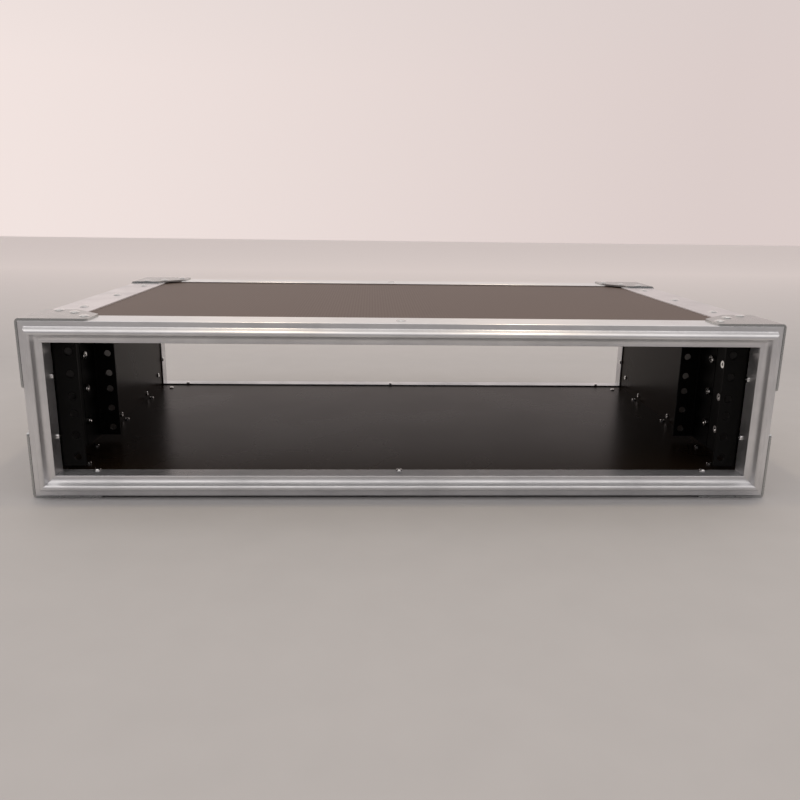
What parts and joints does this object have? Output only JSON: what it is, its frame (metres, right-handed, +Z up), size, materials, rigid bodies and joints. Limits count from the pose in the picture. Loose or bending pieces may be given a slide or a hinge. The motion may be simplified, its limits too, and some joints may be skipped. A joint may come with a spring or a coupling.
{
  "type": "equipment rack case",
  "caption": "Open-fronted and open-backed 2U rack sleeve: laminated plywood panels in aluminium edging with corner braces and drilled black rack rails for 19 inch gear.",
  "frame": {"origin": "middle of the footprint on the standing surface", "axes": "front opening faces -Y, +X is the right side seen from the front, +Z is up"},
  "size_m": [0.5216, 0.311, 0.1275],
  "materials": {
    "laminated_plywood": "black-brown phenolic film, finely textured outside and smooth inside",
    "edging_aluminium": "satin extruded aluminium with lengthwise die lines",
    "brace_zinc": "bright zinc plated sheet steel",
    "rail_black": "satin black powder coat",
    "rivet_steel": "bright nickel plated"
  },
  "bodies": {
    "root": {"bottom_panel": "laminated_plywood", "brace_rivets_front_bottom_left": "rivet_steel", "brace_rivets_front_bottom_right": "rivet_steel", "brace_rivets_front_top_left": "rivet_steel", "brace_rivets_front_top_right": "rivet_steel", "brace_rivets_rear_bottom_left": "rivet_steel", "brace_rivets_rear_bottom_right": "rivet_steel", "brace_rivets_rear_top_left": "rivet_steel", "brace_rivets_rear_top_right": "rivet_steel", "corner_brace_front_bottom_left": "brace_zinc", "corner_brace_front_bottom_right": "brace_zinc", "corner_brace_front_top_left": "brace_zinc", "corner_brace_front_top_right": "brace_zinc", "corner_brace_rear_bottom_left": "brace_zinc", "corner_brace_rear_bottom_right": "brace_zinc", "corner_brace_rear_top_left": "brace_zinc", "corner_brace_rear_top_right": "brace_zinc", "edge_angle_bottom_left": "edging_aluminium", "edge_angle_bottom_right": "edging_aluminium", "edge_angle_top_left": "edging_aluminium", "edge_angle_top_right": "edging_aluminium", "edge_rivets_bottom_left": "rivet_steel", "edge_rivets_bottom_right": "rivet_steel", "edge_rivets_top_left": "rivet_steel", "edge_rivets_top_right": "rivet_steel", "front_rack_rail_left": "rail_black", "front_rack_rail_right": "rail_black", "front_rail_rivets_left": "rivet_steel", "front_rail_rivets_right": "rivet_steel", "front_rim_bottom": "edging_aluminium", "front_rim_left": "edging_aluminium", "front_rim_right": "edging_aluminium", "front_rim_rivet_bottom": "rivet_steel", "front_rim_rivet_top": "rivet_steel", "front_rim_top": "edging_aluminium", "inner_rack_rail_left": "rail_black", "inner_rack_rail_right": "rail_black", "inner_rail_rivets_left": "rivet_steel", "inner_rail_rivets_right": "rivet_steel", "left_panel": "laminated_plywood", "rear_rim_bottom": "edging_aluminium", "rear_rim_left": "edging_aluminium", "rear_rim_right": "edging_aluminium", "rear_rim_rivet_bottom": "rivet_steel", "rear_rim_rivet_top": "rivet_steel", "rear_rim_top": "edging_aluminium", "right_panel": "laminated_plywood", "top_panel": "laminated_plywood"}
  },
  "joints": []
}
